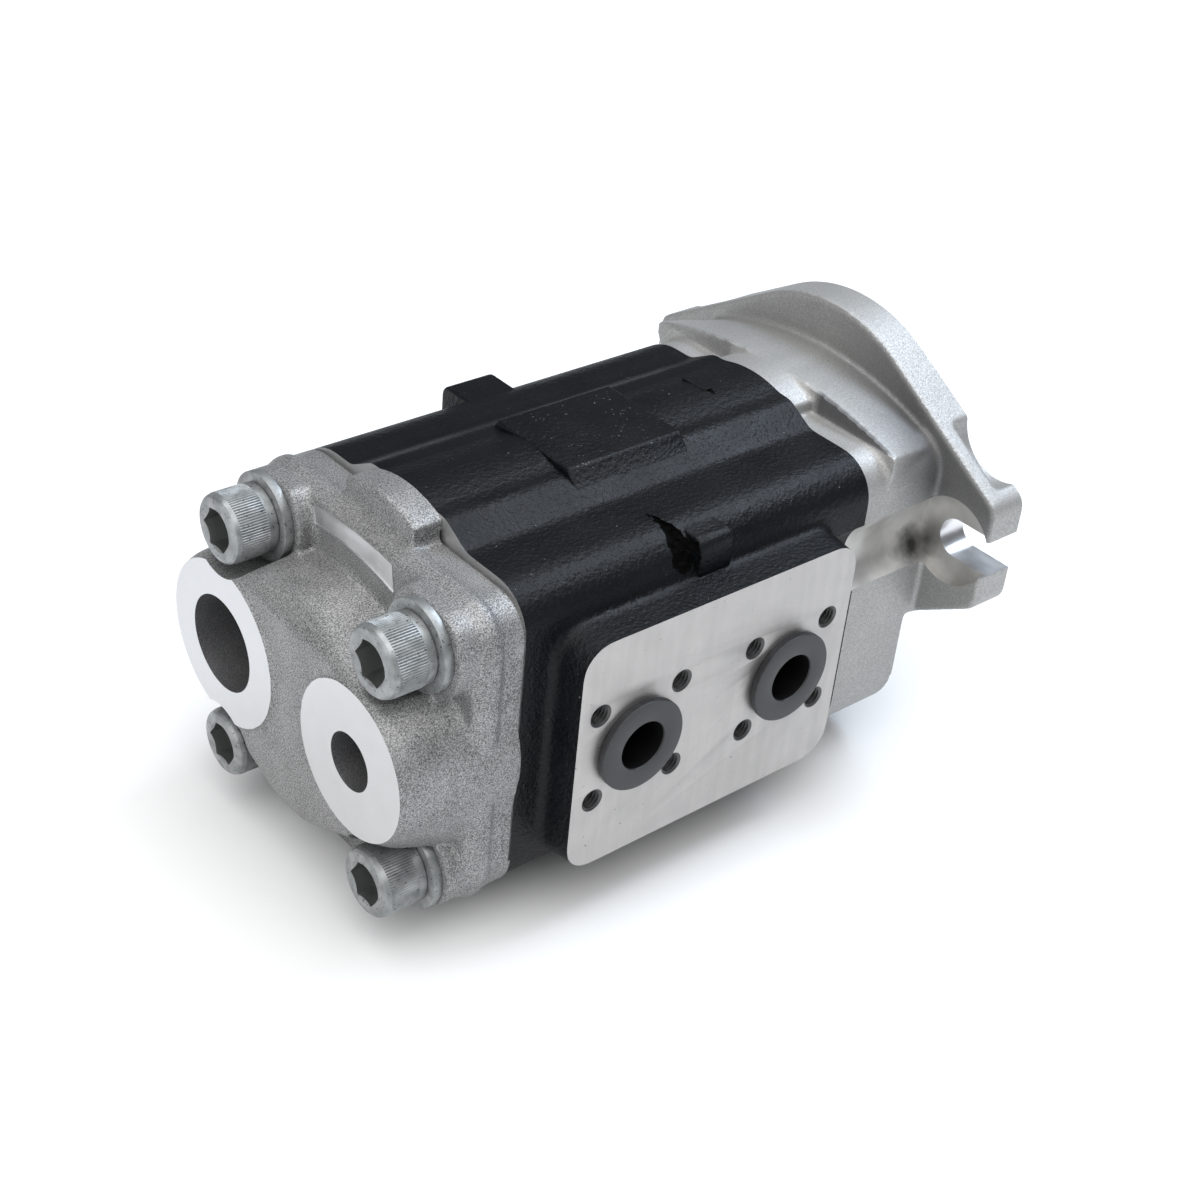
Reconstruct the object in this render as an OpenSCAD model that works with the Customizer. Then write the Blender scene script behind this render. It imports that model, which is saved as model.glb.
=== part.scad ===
// Tandem external gear pump, 25 cc per section, with a two-bolt flange.
// Origin: centre of the mounting face, on the drive shaft axis.
// +X runs from the mounting face to the rear cover, +Y to the discharge
// ports and +Z up. All sizes are in millimetres.

/* [Layout] */
// Distance between the drive gear axis and the driven gear axis
gear_centres = 35; // [34.6:0.1:35.4]
// Square pitch of the four long cover bolts
bolt_pitch = 64; // [63:0.5:68]
// Mounting face to the joint with the body
front_len = 39; // [37:0.5:44]
// Length of the body casting
body_len = 110; // [106:1:116]

/* [Mounting flange] */
// Thickness of the flange plate
flange_t = 11.5; // [10:0.5:14]
// Radius of the round part of the flange
flange_r = 46.5; // [45:0.5:50]
// Distance between the two open bolt slots
ear_pitch = 106.4; // [104:0.4:110]
// Ear tip to ear tip
ear_span = 130; // [128:1:136]
// Distance between the corner centres at an ear tip
ear_h = 24.5; // [23:0.5:27]
// Radius of the corners at the ear tips
ear_corner_r = 5; // [4:0.5:6]
// Depth of the front part of the plate that is cut back beside the ears
scoop_t = 6; // [4:0.5:8]
// Width of the open slots
slot_w = 11; // [10:0.5:12]
// Diameter of the pilot spigot
pilot_d = 82.55; // [78:0.25:84]
// Height of the pilot spigot
pilot_t = 6.35; // [6:0.05:8]
// Radius of the spot face that clears a mounting bolt head
spot_r = 12.5; // [11:0.5:13]
// Depth of the spot face in the flange plate
spot_depth = 2.5; // [1:0.5:4]
// Radius of the crown over the neck at its rear edge
crown_r = 150; // [120:10:200]
// Radius of the crown where it meets the flange plate
crown_front_r = 90; // [80:5:110]
// Set-back of the crown from the body joint
crown_back = 8; // [5:1:12]
// Set-back of the neck from the plate, where it stands out past the plate's edge
neck_back = 2.6; // [1:0.2:5]

/* [Body] */
// Half width of the body
body_half_w = 46; // [45:0.2:48]
// Half height of the body between the humps and the corners
body_half_h = 44.7; // [44:0.1:46]
// Radius of the two full corners
corner_r = 11; // [10:0.5:13]
// Radius of the two soft corners
soft_corner_r = 17; // [15:0.5:18]
// Radius of the humps over the gear chambers
hump_r = 33.7; // [33:0.1:35]
// Radius of the blend between a hump and the flat beside it
hump_fillet = 4; // [3:0.5:8]
// Distance from the mid plane to a port face
port_face_y = 55.6; // [54:0.2:60]
// Length of the discharge port block
block_len = 87; // [84:1:92]
// Height of the discharge port block
block_h = 64.6; // [60:0.2:68]
// Length of the suction port block
suction_block_len = 80; // [72:1:90]
// Height of the suction port block
suction_block_h = 54; // [48:0.5:56]
// Corner radius of the port faces
block_corner_r = 7.7; // [5:0.1:10]
// Draft that the port blocks gain at their root
block_draft = 1.6; // [0.5:0.1:3]
// Length of the blank pad on top of the body
top_pad_len = 34.5; // [30:0.5:50]
// Width of the blank pad at its flat top
top_pad_w = 27.5; // [22:0.5:30]
// Rise of the blank pad above the hump
top_pad_rise = 0.4; // [0.3:0.1:2]
// Length of the casting lug on the discharge side
lug_len = 10.4; // [8:0.2:16]
// Length of the casting lug on the suction side
far_lug_len = 15; // [10:0.5:20]
// Reach of the lugs past the body
lug_reach = 1.4; // [1:0.2:4]

/* [Ports] */
// Mounting face to the front discharge port
port_x = 71.5; // [70:0.5:73]
// Distance between the two discharge ports
port_pitch = 49; // [47:1:51]
// Diameter of the discharge ports
port_d = 18; // [15:0.5:19]
// Square pitch of the tapped holes around a discharge port
port_screw_pitch = 25; // [24.5:0.5:30]
// Diameter of those tapped holes
port_screw_d = 6; // [5:1:8]
// Depth of those tapped holes
port_screw_depth = 14; // [10:1:16]
// Diameter of the suction port
suction_d = 25; // [22:0.5:26]
// Pitch of the tapped holes around the suction port, along the pump
suction_screw_x = 52.4; // [50:0.2:54]
// Pitch of the same holes across the pump
suction_screw_z = 26.2; // [25:0.2:28]
// Diameter of those tapped holes
suction_screw_d = 10; // [8:1:10]
// Depth of those tapped holes
suction_screw_depth = 16; // [12:1:18]
// Diameter of the gallery that feeds both gear chambers
gallery_d = 16; // [12:1:16]

/* [Rear cover] */
// Thickness of the cover under the bolt washers
cover_t = 17.5; // [16:0.5:20]
// Thickness of the cover between the washers
cover_web_t = 13; // [12:0.5:15]
// Half width of the cover at the joint
cover_half_w = 46.4; // [45:0.2:47]
// Half height of the cover at the joint
cover_half_h = 43; // [42:0.2:44]
// Height of the parting line above the joint
parting_h = 7.5; // [5:0.5:9]
// Growth of the cover outline at its parting line
parting_step = 0.7; // [0.3:0.1:1]
// Height of the two pads above the body joint
pad_h = 32; // [30:0.5:34]
// Width of the tab over the hump
tab_w = 27.5; // [24:0.5:32]
// Thickness of that tab
tab_t = 8; // [6:0.5:10]
// Radius of the boss that carries the pads, at its foot
boss_r = 34; // [32:0.5:36]
// Diameter of the large pad
large_pad_d = 43.6; // [40:0.2:46]
// Distance of the large pad from the mid plane
large_pad_y = 30.8; // [28:0.2:33]
// Diameter of the cored hole in the large pad
large_core_d = 25.6; // [22:0.2:28]
// Depth of that cored hole
large_core_depth = 20; // [12:1:22]
// Diameter of the small pad
small_pad_d = 39.6; // [36:0.2:42]
// Distance of the small pad from the mid plane
small_pad_y = 24.8; // [23:0.2:28]
// Diameter of the cored hole in the small pad
small_core_d = 15; // [12:0.2:18]
// Depth of that cored hole
small_core_depth = 16; // [10:1:20]
// Growth of the large pad down to the body joint
large_pad_draft = 2.4; // [1:0.2:4]
// Growth of the small pad down to the body joint
small_pad_draft = 4; // [2:0.2:5]

/* [Fasteners] */
// Diameter of the long cover bolts
bolt_d = 12; // [10:1:12]
// Length of a cover bolt under its head
bolt_len = 150; // [145:1:152]
// Diameter of a bolt head
head_d = 18; // [17:0.5:18]
// Height of a bolt head
head_h = 12; // [10:0.5:14]
// Socket width across its flats
socket_af = 10; // [8:1:10]
// Depth of the socket
socket_depth = 6; // [5:0.5:8]
// Outside diameter of a washer
washer_d = 22.6; // [20:0.2:23]
// Thickness of a washer
washer_t = 2.5; // [2:0.1:3]
// Diameter of the clearance holes for the bolts
bolt_hole_d = 13.5; // [13:0.1:14]
// Outside diameter of the hollow locating dowels
dowel_d = 17; // [16.5:0.1:18]
// Length of the hollow locating dowels
dowel_len = 12; // [8:1:14]

/* [Gears] */
// Number of teeth on each gear
teeth = 11; // [10:1:12]
// Pressure angle of the teeth
pressure_angle = 28; // [26:1:29]
// Thickness that each tooth flank gives up as backlash
flank_gap = 0.09; // [0.06:0.01:0.15]
// Gap between the tooth tips and the chamber wall
tip_gap = 0.12; // [0.08:0.01:0.3]
// Depth of each gear chamber
chamber_len = 42; // [41:0.5:44]
// Thickness of a side plate
plate_t = 3; // [2.5:0.25:3.5]
// End float on each side of a gear
end_gap = 0.05; // [0.03:0.01:0.1]

/* [Bearings and seals] */
// Diameter of the gear journals
journal_d = 20; // [19:0.5:21]
// Outside diameter of the bushes
bush_d = 25; // [24.5:0.5:27]
// Length of the bushes in the flange
front_bush_len = 20; // [16:1:22]
// Gap between the two bushes in each bore of the body web
web_bush_gap = 2; // [1:0.5:6]
// Length of the bushes in the rear cover
rear_bush_len = 11; // [9:1:12]
// Radial gap between a journal and its bush
run_gap = 0.03; // [0.02:0.01:0.06]
// Outside diameter of the shaft seal
seal_d = 35; // [34:0.5:37]
// Width of the shaft seal
seal_w = 8; // [7:0.5:9]
// Width of the cord seals around the chambers
cord_w = 2.3; // [2:0.1:2.6]

/* [Drive shaft] */
// Length of shaft ahead of the mounting face
shaft_out = 32; // [28:1:36]
// Number of teeth on the drive spline
spline_teeth = 11; // [9:1:13]
// Outside diameter of the drive spline
spline_d = 18.6; // [17:0.1:18.8]
// Length of the drive spline
spline_len = 24; // [18:1:25]
// Outside diameter of the coupling quill
quill_d = 12; // [10:0.5:13]
// Length of the coupling quill
quill_len = 21; // [18:1:22]

/* [Port caps] */
// Diameter of the cap discs
cap_d = 24.9; // [22:0.1:26]
// Thickness of the cap discs
cap_t = 2.4; // [2:0.1:3]
// Length of the cap spigots
cap_spigot = 12; // [9:1:14]
// Diameter of the blind hollow in a cap
cap_hollow_d = 13; // [10:0.5:13.5]

/* [Hidden] */
$fn = 64;

// Planes along the pump
mid_z = -gear_centres / 2;
joint_x = front_len + body_len;
pad_x = joint_x + pad_h;
seat_x = joint_x + cover_t;
head_x = seat_x + washer_t;
body_mid_x = front_len + body_len / 2;
front_chamber_end = front_len + chamber_len;
rear_chamber_start = joint_x - chamber_len;
ports_mid_x = port_x + port_pitch / 2;

// Body section
neck_inset = 0.5;
hump_top = gear_centres / 2 + hump_r;
cover_corner_r = corner_r - 1;
cover_soft_r = soft_corner_r - 3;

// Gears
module_size = gear_centres / teeth;
pitch_r = gear_centres / 2;
tip_r = pitch_r + module_size;
root_r = pitch_r - 1.2 * module_size;
base_r = pitch_r * cos(pressure_angle);
chamber_r = tip_r + tip_gap;
gear_w = chamber_len - 2 * plate_t - 2 * end_gap;
front_gear_x = front_len + plate_t + end_gap;
rear_gear_x = rear_chamber_start + plate_t + end_gap;

// Clearances
fit_gap = 0.02;
thread_gap = 0.05;
plate_gap = 0.1;
spline_gap = 0.06;
cap_gap = 0.08;
journal_hole_gap = 0.3;
cut = 1;

// Bearings and seals
web_bush_len = (body_len - 2 * chamber_len - web_bush_gap) / 2;
journal_r = journal_d / 2;
bush_r = bush_d / 2;
passage_r = journal_r + 1;
seal_depth = 5;
seal_front_x = seal_depth - seal_w;
ring_t = 1.4;
ring_x = seal_front_x - ring_t - 0.1;
ring_bite = 1;
groove_w = cord_w + 0.2;
groove_depth = 2;
cord_r = chamber_r + 3.6;
plate_seal_r = 14.5;
plate_seal_w = 2;
plate_seal_t = 1.2;
plate_seal_groove = 1.4;

// Colours
alloy = [0.62, 0.63, 0.64];
light_alloy = [0.75, 0.75, 0.74];
black_paint = [0.06, 0.06, 0.07];
zinc = [0.6, 0.63, 0.66];
steel = [0.55, 0.56, 0.58];
bronze = [0.72, 0.53, 0.3];
rubber = [0.05, 0.05, 0.05];
plastic = [0.13, 0.13, 0.14];

// Extrudes an outline drawn as (Y, Z) along X, from x0 over length l
module along_x(x0, l) {
    translate([x0, 0, 0]) rotate([90, 0, 90]) linear_extrude(l) children();
}

// Round bar or hole along X
module rod(x0, l, r, y = 0, z = 0) {
    translate([x0, y, z]) rotate([0, 90, 0]) cylinder(h = l, r = r);
}

// Solid of revolution about the X axis, drawn as (radius, X)
module turned(y = 0, z = 0) {
    translate([0, y, z]) rotate([0, 90, 0]) rotate_extrude() children();
}

// Places its children at the four bolts
module at_bolts() {
    for (sy = [-1, 1], sz = [-1, 1])
        translate([0, sy * bolt_pitch / 2, mid_z + sz * bolt_pitch / 2]) children();
}

// Places its children at the two bolts that carry the locating dowels
module at_dowels() {
    for (s = [-1, 1])
        translate([0, s * bolt_pitch / 2, mid_z + s * bolt_pitch / 2]) children();
}

// Places its children on both gear axes
module at_gears() {
    for (z = [0, -gear_centres]) translate([0, 0, z]) children();
}

// Round-cornered outline about the mid plane, with half width w and half height h.
// Two opposite corners have the radius r1 and the other two the radius r2.
module cornered(w, h, r1, r2) {
    translate([0, mid_z]) {
        polygon([[r2 - w, h], [w - r1, h], [w, h - r1], [w, r2 - h],
            [w - r2, -h], [r1 - w, -h], [-w, r1 - h], [-w, h - r2]]);
        for (s = [-1, 1]) {
            translate([s * (w - r1), s * (h - r1)]) circle(r1);
            translate([s * (w - r2), s * (r2 - h)]) circle(r2);
        }
    }
}

// Concave blend between a hump and the flat beside it
module hump_blend(a) {
    rise = a + hump_fillet - gear_centres / 2;
    reach = sqrt(pow(hump_r + hump_fillet, 2) - rise * rise);
    touch = hump_r / (hump_r + hump_fillet);
    difference() {
        polygon([[0, a - cut], [reach, a - cut], [reach, a + hump_fillet],
            [reach * touch, gear_centres / 2 + rise * touch]]);
        translate([reach, a + hump_fillet]) circle(hump_fillet);
    }
}

// Section of the body, made smaller by inset: corners, flats, and a hump over each gear
module body_section(inset) {
    flat = body_half_h - inset;
    cornered(body_half_w - inset, flat, corner_r - inset, soft_corner_r - inset);
    for (z = [0, -gear_centres]) translate([0, z]) circle(hump_r);
    translate([0, mid_z])
        for (m = [0, 1], n = [0, 1]) mirror([m, 0]) mirror([0, n]) hump_blend(flat);
}

// Two overlapping circles, one on each gear axis
module figure_eight(r) {
    for (z = [0, -gear_centres]) translate([0, z]) circle(r);
}

// Track with round ends about both gear axes
module obround(r) {
    figure_eight(r);
    translate([0, mid_z]) square([2 * r, gear_centres], center = true);
}

// Angle by which an involute has unwound at radius r, in degrees
function unwound(r) = let (a = acos(base_r / r)) tan(a) * 180 / PI - a;

// Half the angle of a tooth at radius r
function half_tooth(r) = 90 / teeth - flank_gap / pitch_r * 180 / PI + unwound(pitch_r) - unwound(r);

function polar(r, a) = [r * cos(a), r * sin(a)];

// Outline of one tooth, from its root up one flank and down the other
flank_steps = 6;
flank_radii = [for (i = [0 : flank_steps]) base_r + (tip_r - base_r) * i / flank_steps];
function tooth(a) = concat(
    [polar(root_r, a - half_tooth(base_r))],
    [for (r = flank_radii) polar(r, a - half_tooth(r))],
    [for (i = [flank_steps : -1 : 0]) polar(flank_radii[i], a + half_tooth(flank_radii[i]))],
    [polar(root_r, a + half_tooth(base_r))]);

// Toothed section of a gear, with one tooth centred on the angle start
module gear_section(start) {
    polygon([for (i = [0 : teeth - 1]) each tooth(start + i * 360 / teeth)]);
}

// Section of a straight-sided spline
function spline_points(n, r_out, r_in) = [for (i = [0 : n - 1], k = [0 : 3])
    polar(k == 0 || k == 3 ? r_in : r_out, (i + [0.12, 0.3, 0.7, 0.88][k]) * 360 / n)];
module spline_section(n, r_out, r_in) {
    polygon(spline_points(n, r_out, r_in));
}
spline_depth = 1.5;
quill_teeth = 10;
quill_r = quill_d / 2;
quill_depth = 0.9;

// Flange plate: a round centre with two ears drawn out along its tangents
module flange_outline() {
    y = ear_span / 2 - ear_corner_r;
    z = ear_h / 2;
    lean = atan2(z, y) + acos((flange_r - ear_corner_r) / sqrt(y * y + z * z));
    circle(flange_r, $fn = 128);
    for (m = [0, 1]) mirror([m, 0]) {
        for (s = [-1, 1]) translate([y, s * z]) circle(ear_corner_r);
        polygon([[0, 0], polar(flange_r, -lean), [y, -z] + polar(ear_corner_r, -lean), [y + ear_corner_r, -z],
            [y + ear_corner_r, z], [y, z] + polar(ear_corner_r, lean), polar(flange_r, lean)]);
    }
}

// Hollow cut into the front of the plate between its round part and an ear
module flange_scoops() {
    scoop_r = 13;
    for (sy = [-1, 1], sz = [-1, 1])
        translate([0, sy * (ear_pitch / 2 + 2), sz * (slot_w / 2 + scoop_r + 11)])
            rotate([0, 90, 0]) translate([0, 0, -cut]) cylinder(h = scoop_t + cut, r = scoop_r);
}

// Slice of the crown over the neck, at x, with the radius r and the half width w
module crown_slice(x, r, w) {
    top = hump_top - 0.1;
    along_x(x, 0.05) translate([0, mid_z]) intersection() {
        translate([0, top - r]) circle(r, $fn = 160);
        translate([-w, 0]) square([2 * w, top + cut]);
    }
}

// Crown over the neck between the flange plate and the pockets at the body joint
module neck_crown() {
    hull() {
        crown_slice(flange_t - 0.1, crown_front_r, body_half_w - 4);
        crown_slice(front_len - crown_back, crown_r, body_half_w - neck_inset);
    }
}

// Section of the neck: flat beside a narrow block that reaches up to the humps
module neck_section() {
    cornered(body_half_w - neck_inset, body_half_h - neck_inset, corner_r - neck_inset, soft_corner_r - neck_inset);
    intersection() {
        body_section(neck_inset);
        translate([0, mid_z]) square([tab_w + 4, 4 * hump_top], center = true);
    }
}

module bolt_slots() {
    slot_r = slot_w / 2;
    mouth = 1.5;
    for (s = [-1, 1]) {
        rod(-cut, flange_t + 2 * cut, slot_r, s * ear_pitch / 2);
        translate([-cut, s * ear_pitch / 2 - (s < 0 ? ear_span : 0), -slot_r])
            cube([flange_t + 2 * cut, ear_span, slot_w]);
        along_x(-cut, flange_t + 2 * cut) mirror([s < 0 ? 1 : 0, 0])
            polygon([[ear_span / 2 - mouth, slot_r - cut], [ear_span / 2 - mouth, slot_r],
                [ear_span / 2 + cut, slot_r + mouth + cut], [ear_span / 2 + cut, -slot_r - mouth - cut],
                [ear_span / 2 - mouth, -slot_r], [ear_span / 2 - mouth, -slot_r + cut]]);
    }
}

// Cast front cover with the flange, the pilot and the shaft seal seat
module mounting_flange() {
    color(light_alloy) difference() {
        union() {
            along_x(0, flange_t) flange_outline();
            rod(-pilot_t, pilot_t + cut, pilot_d / 2);
            along_x(flange_t - cut, cut + neck_back) intersection() {
                neck_section();
                flange_outline();
            }
            along_x(flange_t + neck_back, front_len - flange_t - neck_back) neck_section();
            neck_crown();
        }
        bolt_slots();
        flange_scoops();
        for (s = [-1, 1]) rod(flange_t - spot_depth, front_len, spot_r, s * ear_pitch / 2);
        rod(-pilot_t - cut, pilot_t + seal_depth + cut, seal_d / 2);
        rod(ring_x, ring_t + fit_gap, seal_d / 2 + ring_bite);
        rod(0, front_len, passage_r);
        at_gears() rod(front_len - front_bush_len, front_bush_len + cut, bush_r);
        at_bolts() rod(head_x - bolt_len - 2, bolt_len, bolt_d / 2 + thread_gap);
        at_dowels() rod(front_len - dowel_len / 2, dowel_len, dowel_d / 2 + fit_gap);
    }
}

// Drafted block that carries a port face, on the side s, of length l and height h
module port_block(s, l, h) {
    draw = 14;
    hull() for (i = [0, 1])
        translate([body_mid_x + 1.5, s * (port_face_y - draw * (1 - i)), mid_z]) rotate([s * 90, 0, 0])
            linear_extrude(0.1) {
                grow = block_draft * (1 - i);
                a = l / 2 - block_corner_r + grow;
                b = h / 2 - block_corner_r + grow;
                for (sx = [-1, 1], sz = [-1, 1])
                    translate([sx * a, sz * b]) circle(block_corner_r, $fn = 32);
            }
}

// Four tapped holes around the port at x, on the side s, with the pitches px and pz
module port_screws(x, s, px, pz, d, depth) {
    for (sx = [-1, 1], sz = [-1, 1])
        translate([x + sx * px / 2, s * (port_face_y + cut), mid_z + sz * pz / 2])
            rotate([s * 90, 0, 0]) cylinder(h = depth + cut, r = d / 2);
}

// Bore from a port face, on the side s, down to the distance y_in from the mid plane
module port_bore(x, s, r, y_in) {
    translate([x, s * (port_face_y + cut), mid_z])
        rotate([s * 90, 0, 0]) cylinder(h = port_face_y + cut - y_in, r = r);
}

// Blank raised pad across the hump on top of the body
module top_pad() {
    top = hump_top + top_pad_rise;
    foot = body_half_h - 0.5;
    spread = 6.5;
    translate([body_mid_x - top_pad_len / 2, 0.8, 0]) along_x(0, top_pad_len) translate([0, mid_z])
        polygon([[-top_pad_w / 2 - spread, foot], [-top_pad_w / 2, top],
            [top_pad_w / 2, top], [top_pad_w / 2 + spread, foot]]);
}

// Casting lug between an upper corner and the port block, on the side s
module casting_lug(s, x, l) {
    corner = 3;
    root = bolt_pitch / 2;
    out = body_half_w + lug_reach;
    top = body_half_h - 1.5;
    mirror([0, s < 0 ? 1 : 0, 0]) along_x(x - l / 2, l) translate([0, mid_z]) {
        translate([root, block_h / 2 - 2]) square([out - root, top - corner - block_h / 2 + 2]);
        translate([root, block_h / 2]) square([out - corner - root, top - block_h / 2]);
        translate([out - corner, top - corner]) circle(corner);
    }
}

// Cast iron body with both gear chambers, the web between them and the ports
module pump_body() {
    color(black_paint) difference() {
        union() {
            along_x(front_len, body_len) body_section(0);
            port_block(1, block_len, block_h);
            port_block(-1, suction_block_len, suction_block_h);
            top_pad();
            casting_lug(1, body_mid_x - 0.8, lug_len);
            casting_lug(-1, body_mid_x + 3, far_lug_len);
        }
        along_x(front_len - cut, chamber_len + cut) figure_eight(chamber_r);
        along_x(rear_chamber_start, chamber_len + cut) figure_eight(chamber_r);
        at_gears() rod(front_len, body_len, bush_r);
        for (s = [-1, 1])
            rod(front_len - cut, ports_mid_x - block_len / 2 - block_draft - front_len + cut,
                spot_r, s * ear_pitch / 2);
        at_bolts() rod(front_len - cut, body_len + 2 * cut, bolt_hole_d / 2);
        at_dowels() {
            rod(front_len - cut, dowel_len / 2 + cut, dowel_d / 2 + fit_gap);
            rod(joint_x - dowel_len / 2, dowel_len, dowel_d / 2 + fit_gap);
        }
        for (x = [port_x, port_x + port_pitch]) {
            port_bore(x, 1, port_d / 2, pitch_r / 2);
            port_screws(x, 1, port_screw_pitch, port_screw_pitch, port_screw_d, port_screw_depth);
        }
        port_bore(body_mid_x, -1, suction_d / 2, chamber_r);
        port_screws(body_mid_x, -1, suction_screw_x, suction_screw_z, suction_screw_d, suction_screw_depth);
        rod(port_x - gallery_d / 2, port_pitch + gallery_d, gallery_d / 2, -chamber_r + 2, mid_z);
        for (x = [front_len - cut, joint_x - groove_depth])
            along_x(x, groove_depth + cut) cord_track(groove_w);
    }
}

// Closed track around both gear chambers, w wide
module cord_track(w) {
    difference() {
        obround(cord_r + w / 2);
        obround(cord_r - w / 2);
    }
}

// Outline of the rear cover, grown by g
module cover_outline(g) {
    cornered(cover_half_w + g, cover_half_h + g, cover_corner_r + g, cover_soft_r + g);
}

// Cast rear cover with the two blank port pads
module rear_cover() {
    scallop_r = washer_d / 2 + 0.9;
    seat_r = scallop_r + 1.4;
    color(alloy) difference() {
        union() {
            along_x(joint_x, parting_h + cut) cover_outline(0);
            cover_rim(3);
            along_x(joint_x, cover_t) intersection() {
                cover_outline(-1.3);
                for (sy = [-1, 1], sz = [-1, 1])
                    translate([sy * bolt_pitch / 2, mid_z + sz * bolt_pitch / 2]) circle(seat_r);
            }
            cover_tab();
            cover_foot();
            cover_boss();
            rod(pad_x - 4, 4, large_pad_d / 2, -large_pad_y, mid_z);
            rod(pad_x - 4, 4, small_pad_d / 2, small_pad_y, mid_z);
        }
        at_bolts() rod(seat_x, pad_h, scallop_r);
        at_bolts() rod(joint_x - cut, pad_h, bolt_hole_d / 2);
        at_dowels() rod(joint_x - cut, dowel_len / 2 + cut, dowel_d / 2 + fit_gap);
        at_gears() rod(joint_x - cut, rear_bush_len + cut + 0.5, bush_r);
        rod(pad_x - large_core_depth, pad_h, large_core_d / 2, -large_pad_y, mid_z);
        rod(pad_x - small_core_depth, pad_h, small_core_d / 2, small_pad_y, mid_z);
    }
}

// Part of the cover plate behind the parting line, its rear edge softened by r
module cover_rim(r) {
    hull() {
        along_x(joint_x + parting_h, 0.05) cover_outline(parting_step);
        for (i = [0 : 2])
            along_x(joint_x + cover_web_t - r + r * sin(i * 45) - 0.05, 0.05)
                cover_outline(parting_step - 0.3 - r * (1 - cos(i * 45)), $fn = 48);
    }
}

// Tab of the cover that covers the hump of the body
module cover_tab() {
    along_x(joint_x, tab_t) translate([0, mid_z]) intersection() {
        translate([0, gear_centres / 2]) circle(hump_r + 0.3);
        translate([-tab_w / 2, 0]) square([tab_w, 2 * hump_top]);
    }
}

// Foot under the cover, opposite the tab
module cover_foot() {
    foot_w = 8;
    foot_t = cover_t - 1.5;
    along_x(joint_x, foot_t) translate([0, mid_z])
        polygon([[-tab_w / 2, 3 - cover_half_h], [-foot_w, 1.4 - hump_top],
            [foot_w, 1.4 - hump_top], [tab_w / 2, 3 - cover_half_h]]);
}

// Slice of the boss at x, with the given growth about each pad, a middle circle of the
// radius r whose centre is lowered by drop, and a circle of the radius toe_r under the
// small pad, lowered by toe
module boss_slice(x, grow_large, grow_small, r, drop, toe_r, toe) {
    along_x(x, 0.05) translate([0, mid_z]) {
        translate([-large_pad_y, 0]) circle(large_pad_d / 2 + grow_large, $fn = 60);
        translate([small_pad_y, 0]) circle(small_pad_d / 2 + grow_small, $fn = 60);
        translate([(small_pad_y - large_pad_y) / 2 - 1, -drop]) circle(r, $fn = 60);
        translate([small_pad_y - 3, -toe]) circle(toe_r, $fn = 60);
    }
}

// Drafted boss that joins the two pads, fuller towards the bottom
module cover_boss() {
    hull() {
        boss_slice(joint_x, large_pad_draft, small_pad_draft, boss_r, 2, small_pad_d / 2 + 4.4, 14);
        boss_slice(pad_x - 6, 1.6, 1.8, boss_r - 2.5, 5, small_pad_d / 2 + 0.8, 6);
        boss_slice(pad_x - 2.5, 1.2, 1.2, boss_r - 5, 5.5, small_pad_d / 2 + 0.2, 2);
        boss_slice(pad_x - 1.2, 0.8, 0.8, boss_r - 9, 6, small_pad_d / 2 - 1, 1);
    }
}

// Socket head bolts through the cover and the body into the flange
module cover_bolts() {
    edge = 1;
    color(zinc) at_bolts() difference() {
        union() {
            turned() polygon([[0, head_x], [head_d / 2 - 0.4, head_x], [head_d / 2, head_x + 0.4],
                [head_d / 2, head_x + head_h - edge], [head_d / 2 - edge / 2, head_x + head_h], [0, head_x + head_h]]);
            turned() polygon([[0, head_x - bolt_len], [bolt_d / 2 - edge, head_x - bolt_len],
                [bolt_d / 2, head_x - bolt_len + edge], [bolt_d / 2, head_x + cut], [0, head_x + cut]]);
        }
        rod_hex(head_x + head_h - socket_depth, socket_depth + cut, socket_af);
    }
}

// Hexagonal hole along X
module rod_hex(x0, l, af) {
    translate([x0, 0, 0]) rotate([0, 90, 0]) cylinder(h = l, r = af / 2 / cos(30), $fn = 6);
}

module bolt_washers() {
    bevel = 0.5;
    inner = bolt_hole_d / 2;
    color(zinc) at_bolts() turned()
        polygon([[inner, seat_x], [washer_d / 2, seat_x], [washer_d / 2, head_x - bevel],
            [washer_d / 2 - bevel, head_x], [inner, head_x]]);
}

// Front drive gear, one piece with the splined drive shaft
module drive_shaft() {
    chamfer = 1;
    journal_end = front_chamber_end + web_bush_len;
    bore = quill_len / 2 + 2;
    color(steel) difference() {
        union() {
            along_x(-shaft_out, spline_len) spline_section(spline_teeth, spline_d / 2, spline_d / 2 - spline_depth);
            rod(-shaft_out, spline_len + cut, spline_d / 2 - spline_depth);
            turned() polygon([[0, spline_len - shaft_out], [journal_r - chamfer, spline_len - shaft_out],
                [journal_r, spline_len - shaft_out + chamfer], [journal_r, journal_end], [0, journal_end]]);
            along_x(front_gear_x, gear_w) gear_section(-90);
        }
        along_x(web_mid_x - bore, bore) spline_section(quill_teeth, quill_r + spline_gap, quill_r + spline_gap - quill_depth);
        translate([-shaft_out, 0, 0]) turned() polygon([[spline_d / 2 - chamfer, -cut], [spline_d, -cut],
            [spline_d, spline_d / 2 + chamfer], [spline_d / 2 - chamfer, 0]]);
    }
}
web_mid_x = (front_chamber_end + rear_chamber_start) / 2;

// Rear drive gear with its two journals
module rear_drive_gear() {
    bore = quill_len / 2 + 2;
    color(steel) difference() {
        union() {
            along_x(rear_gear_x, gear_w) gear_section(-90);
            rod(rear_chamber_start - web_bush_len, web_bush_len + plate_t + cut, journal_r);
            rod(rear_gear_x + gear_w - cut, plate_t + rear_bush_len, journal_r);
        }
        along_x(web_mid_x, bore) spline_section(quill_teeth, quill_r + spline_gap, quill_r + spline_gap - quill_depth);
    }
}

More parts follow.
